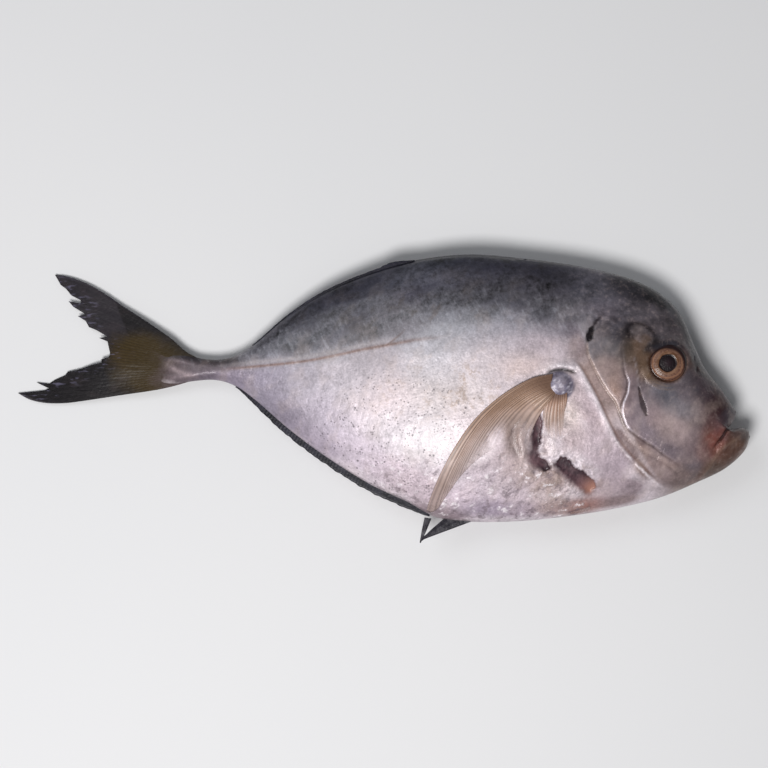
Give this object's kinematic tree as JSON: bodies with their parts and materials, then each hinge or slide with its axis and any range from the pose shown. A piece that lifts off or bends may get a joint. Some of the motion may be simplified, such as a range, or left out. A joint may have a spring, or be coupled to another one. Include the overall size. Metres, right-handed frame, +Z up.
{
  "type": "whole moonfish",
  "caption": "Whole raw moonfish lying on its flank: deep, thin silvery body, steep forehead, jutting lower jaw, long sickle pectoral fin and a ragged forked tail.",
  "frame": {"origin": "on the surface that the fish lies on, under the middle of its bounding box", "axes": "+X from the tail to the snout, +Y from the belly to the back, +Z up out of the right flank; the left flank lies on the surface"},
  "size_m": [0.2804, 0.1102, 0.0307],
  "materials": {
    "skin": "wet gloss",
    "eye": "wet gloss",
    "paired_fin": "wet satin",
    "folded_fin": "wet satin",
    "tail_fin": "wet satin"
  },
  "bodies": {
    "root": {"body": "skin", "right_eye": "eye", "left_eye": "eye", "right_pectoral_fin": "paired_fin", "left_pectoral_fin": "paired_fin", "right_pelvic_fin": "paired_fin", "left_pelvic_fin": "paired_fin", "dorsal_fin": "folded_fin", "anal_fin": "folded_fin", "tail_fin": "tail_fin"}
  },
  "joints": []
}
